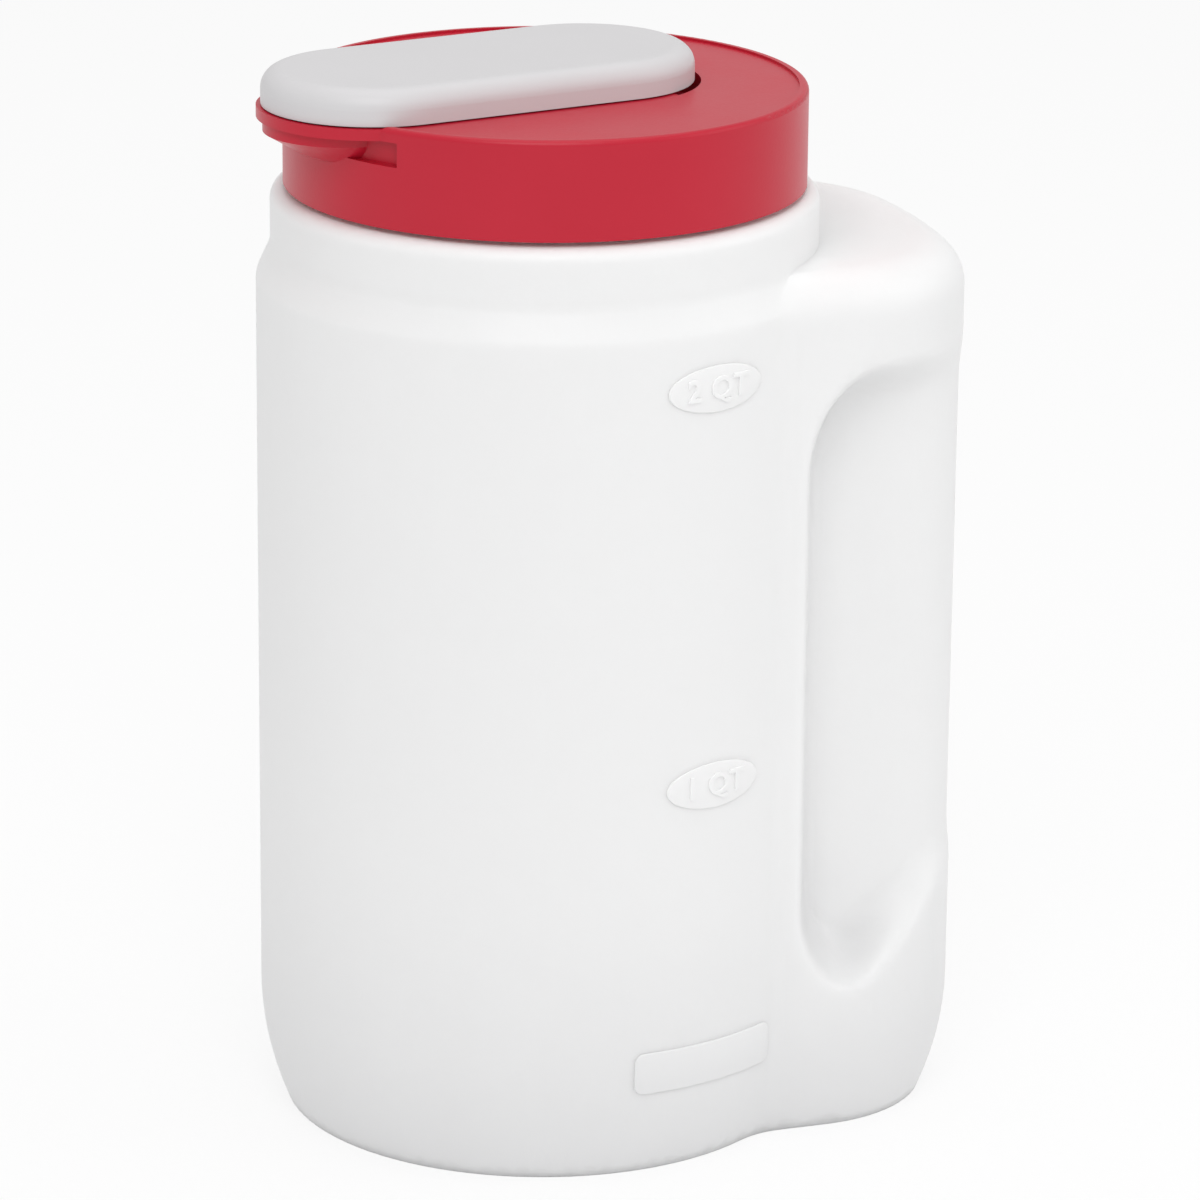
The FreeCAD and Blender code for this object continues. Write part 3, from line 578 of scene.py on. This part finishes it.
class Skin:
    """Outer surface of the bottle, for pieces that lie on it."""

    def __init__(self, thing: bpy.types.Object, axis_x: float, radius: float) -> None:
        """Reads the surface.

        Args:
            thing: the bottle.
            axis_x: place of the bottle's axis.
            radius: radius of the round front.
        """
        shape = bmesh.new()
        shape.from_mesh(thing.data)
        self.tree = BVHTree.FromBMesh(shape)
        shape.free()
        self.axis_x = axis_x
        self.radius = radius

    def point(self, angle: float, height: float, lift: float) -> Vector:
        """Place over the surface.

        Args:
            angle: direction from the axis, in radians.
            height: height over the foot.
            lift: how far it stands out.

        Returns:
            The place.
        """
        outward = Vector((math.cos(angle), math.sin(angle), 0.0))
        middle = Vector((self.axis_x, 0.0, height))
        hit, normal, _, _ = self.tree.ray_cast(middle + outward * FAR, -outward)
        if normal.dot(outward) < 0.0:
            normal.negate()
        return hit + normal * lift


@dataclass(frozen=True)
class Relief:
    """Low raised form moulded in the wall of the bottle."""

    name: str
    direction: float
    height: float
    width: float
    tall: float
    outline: Outline = Outline.OVAL
    rise: float = 0.35 * MM
    sunk: float = 0.3 * MM
    corner: float = 2.0 * MM
    soft_edge: float = 0.8
    strip: float = 1.5 * MM
    crease: float = 50.0

    def lay(self, shape: bmesh.types.BMesh, skin: Skin,
            material: bpy.types.Material) -> bpy.types.Object:
        """Cuts a flat form into strips, bends it round the wall and makes it a piece.

        Args:
            shape: form drawn flat, with X along the wall, Y up and Z out of it.
            skin: surface it lies on.
            material: its finish.

        Returns:
            The finished piece.
        """
        low = min(vert.co.x for vert in shape.verts)
        high = max(vert.co.x for vert in shape.verts)
        for cut in range(1, int((high - low) / self.strip)):
            everything = shape.verts[:] + shape.edges[:] + shape.faces[:]
            bmesh.ops.bisect_plane(shape, geom=everything, dist=FINE,
                                   plane_co=(low + cut * self.strip, 0.0, 0.0),
                                   plane_no=(1.0, 0.0, 0.0))
        centre = math.radians(self.direction)
        for vert in shape.verts:
            along, up, lift = vert.co
            vert.co = skin.point(centre + along / skin.radius, self.height + up, lift)
        bmesh.ops.recalc_face_normals(shape, faces=shape.faces[:])
        return bottle_piece(shape, self.name, material, self.crease)

    def plate(self) -> bmesh.types.BMesh:
        """Flat plate with a soft edge, oval or with rounded corners.

        Returns:
            The form, with Z out of the wall.
        """
        shape = bmesh.new()
        if self.outline is Outline.OVAL:
            bmesh.ops.create_circle(shape, cap_ends=True, segments=72, radius=0.5)
        else:
            bmesh.ops.create_grid(shape, x_segments=1, y_segments=1, size=0.5)
        bmesh.ops.scale(shape, vec=(self.width, self.tall, 1.0), verts=shape.verts[:])
        if self.outline is Outline.ROUNDED:
            bmesh.ops.bevel(shape, geom=shape.verts[:], offset=self.corner, segments=6,
                            profile=0.5, affect="VERTICES", material=-1)
        bmesh.ops.translate(shape, vec=(0.0, 0.0, -self.sunk), verts=shape.verts[:])
        grown = bmesh.ops.extrude_face_region(shape, geom=shape.faces[:])
        top = [item for item in grown["geom"] if isinstance(item, bmesh.types.BMVert)]
        bmesh.ops.translate(shape, vec=(0.0, 0.0, self.sunk + self.rise), verts=top)
        rim = [edge for edge in shape.edges
               if all(vert.co.z > 0.0 for vert in edge.verts) and edge.is_manifold
               and edge.calc_face_angle(0.0) > 1.0]
        bmesh.ops.bevel(shape, geom=rim, offset=self.rise * self.soft_edge, segments=3, profile=0.5,
                        affect="EDGES", material=-1)
        return shape

    def build(self, skin: Skin, material: bpy.types.Material) -> None:
        """Lays the bare plate on the wall."""
        self.lay(self.plate(), skin, material)


@dataclass(frozen=True)
class VolumeMark:
    """Raised oval with the volume in raised letters."""

    words: str
    oval: Relief
    letter: float = 4.4 * MM
    letter_box: float = 1.42
    letter_space: float = 1.08
    letter_rise: float = 0.12 * MM
    letter_strip: float = 1.0 * MM
    half_thick: float = 0.25 * MM
    soft: float = 0.06 * MM
    bold: float = 0.1 * MM

    def letters(self) -> bmesh.types.BMesh:
        """Letters as a flat form that stands a little over the plate.

        Returns:
            The form, with Z out of the wall.
        """
        data = bpy.data.curves.new("letters", "FONT")
        data.body = self.words
        data.align_x = "CENTER"
        data.align_y = "CENTER"
        data.size = self.letter * self.letter_box
        data.space_character = self.letter_space
        data.extrude = self.half_thick
        data.bevel_depth = self.soft
        data.offset = self.bold
        source = bpy.data.objects.new("letters", data)
        mesh = bpy.data.meshes.new_from_object(source)
        shape = bmesh.new()
        shape.from_mesh(mesh)
        bmesh.ops.remove_doubles(shape, verts=shape.verts[:], dist=NEAR)
        bmesh.ops.triangulate(shape, faces=shape.faces[:])
        lift = self.oval.rise + self.letter_rise
        bmesh.ops.translate(shape, vec=(0.0, 0.0, lift), verts=shape.verts[:])
        bpy.data.objects.remove(source)
        bpy.data.curves.remove(data)
        bpy.data.meshes.remove(mesh)
        return shape

    def build(self, skin: Skin, material: bpy.types.Material) -> None:
        """Lays the oval and its letters on the wall.

        Args:
            skin: surface they lie on.
            material: their finish.
        """
        self.oval.build(skin, material)
        script = replace(self.oval, name=f"{self.oval.name}_letters", strip=self.letter_strip)
        script.lay(self.letters(), skin, material)


MARKS = (
    VolumeMark("2 QT", Relief("two_quart_mark", -72.3, 163.0 * MM, 22.4 * MM, 9.4 * MM)),
    VolumeMark("1 QT", Relief("one_quart_mark", -71.6, 81.6 * MM, 22.4 * MM, 9.4 * MM)),
    Relief("plain_pad", -72.0, 22.8 * MM, 34.0 * MM, 8.8 * MM, Outline.ROUNDED, 0.4 * MM),
)


# ------------------------------------------------------------------ studio

@dataclass(frozen=True)
class Lamp:
    """Soft square lamp."""

    name: str
    spot: Triple
    power: float
    size: float = 1.2
    aim: float = 0.1

    def hang(self, axis_x: float) -> None:
        """Hangs the lamp and aims it at the middle of the bottle.

        Args:
            axis_x: place of the bottle's axis.
        """
        data = bpy.data.lights.new(self.name, "AREA")
        data.size = self.size
        data.energy = self.power
        thing = link(bpy.data.objects.new(self.name, data))
        ray = Vector((axis_x, 0.0, self.aim)) - Vector(self.spot)
        turn = ray.to_track_quat("-Z", "Y").to_matrix().to_4x4()
        thing.matrix_world = Matrix.Translation(self.spot) @ turn


LAMPS = (
    Lamp("key", (-0.5, -1.3, 1.6), 13.0),
    Lamp("fill", (1.5, -0.7, 0.9), 4.0),
    Lamp("top", (0.1, 0.2, 1.7), 4.5),
)


@dataclass(frozen=True)
class Studio:
    """Plain pale floor, soft light and the camera."""

    axis_x: float
    distance: float = 1.2727
    elevation: float = 22.09
    yaw: float = 0.57
    pitch: float = 17.58
    roll: float = 0.55
    turn: float = 18.0
    lens: float = 182.04
    film: float = 36.0
    nearest: float = 0.05
    floor_half: float = 6.0
    floor_colour: float = 0.9
    floor_glow: float = 0.8
    sky_strength: float = 0.66

    def camera(self) -> None:
        """Camera that looks slightly down on the front and the side of the lobe."""
        rise, yaw, pitch, roll = (math.radians(angle) for angle in
                                  (self.elevation, self.yaw, self.pitch, self.roll))
        spot = Vector((0.0, -math.cos(rise), math.sin(rise))) * self.distance
        ahead = Vector((math.sin(yaw) * math.cos(pitch), math.cos(yaw) * math.cos(pitch),
                        -math.sin(pitch)))
        right = Vector((math.cos(yaw), -math.sin(yaw), 0.0))
        up = right.cross(ahead)
        right, up = (right * math.cos(roll) + up * math.sin(roll),
                     up * math.cos(roll) - right * math.sin(roll))
        turned = Matrix((right, up, -ahead)).transposed().to_4x4()
        data = bpy.data.cameras.new("camera")
        data.lens = self.lens
        data.sensor_width = self.film
        data.clip_start = self.nearest
        thing = link(bpy.data.objects.new("camera", data))
        thing.matrix_world = (Matrix.Translation((self.axis_x, 0.0, 0.0))
                              @ Matrix.Rotation(-math.radians(self.turn), 4, "Z")
                              @ Matrix.Translation(spot) @ turned)
        bpy.context.scene.camera = thing

    def floor_material(self) -> bpy.types.Material:
        """White that keeps the shadow and shows brighter to the camera and in gloss.

        Returns:
            The material.
        """
        graph = Graph("floor_white")
        path = graph.node("ShaderNodeLightPath")
        seen = Value(graph, path.outputs["Is Camera Ray"]) + path.outputs["Is Glossy Ray"]
        tone = (self.floor_colour, self.floor_colour, self.floor_colour, 1.0)
        dull = graph.node("ShaderNodeBsdfDiffuse", None, {"Color": tone})
        glow = graph.node("ShaderNodeEmission", None, {"Color": (1.0, 1.0, 1.0, 1.0),
                                                       "Strength": 1.0})
        mixed = graph.node("ShaderNodeMixShader", None, {
            0: seen.held() * self.floor_glow, 1: dull.outputs[0], 2: glow.outputs[0]})
        graph.node("ShaderNodeOutputMaterial", None, {"Surface": mixed.outputs[0]})
        return graph.material

    def floor(self) -> None:
        """Wide white floor."""
        shape = bmesh.new()
        bmesh.ops.create_grid(shape, x_segments=1, y_segments=1, size=self.floor_half)
        mesh = bpy.data.meshes.new("floor")
        shape.to_mesh(mesh)
        shape.free()
        mesh.materials.append(self.floor_material())
        link(bpy.data.objects.new("floor", mesh))

    def sky(self) -> None:
        """Even pale surroundings."""
        world = bpy.data.worlds.new("surroundings")
        bpy.context.scene.world = world
        world.use_nodes = True
        tree = world.node_tree
        tree.nodes.clear()
        back = tree.nodes.new("ShaderNodeBackground")
        back.inputs["Color"].default_value = (1.0, 1.0, 1.0, 1.0)
        back.inputs["Strength"].default_value = self.sky_strength
        out = tree.nodes.new("ShaderNodeOutputWorld")
        tree.links.new(back.outputs[0], out.inputs["Surface"])

    def build(self) -> None:
        """Makes the whole studio."""
        self.camera()
        self.floor()
        self.sky()
        for lamp in LAMPS:
            lamp.hang(self.axis_x)
        bpy.context.scene.view_settings.view_transform = "Standard"
        LOG.info("studio")


# ------------------------------------------------------------------ the whole


def main() -> None:
    """Builds and dresses the bottle."""
    logging.basicConfig(level=logging.INFO, format="%(message)s")
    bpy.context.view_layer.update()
    low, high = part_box("bottle")
    radius = (high.y - low.y) / 2
    axis_x = low.x + radius
    Studio(axis_x).build()
    bottle = Bottle(LobePlan(), Grip(), axis_x).build(MILKY.material())
    Piece("screw_lid", RED).dress()
    Piece("flip_cover", WHITE).dress()
    skin = Skin(bottle, axis_x, radius)
    raised = RAISED.material()
    for mark in MARKS:
        mark.build(skin, raised)


if __name__ == "__main__":
    main()
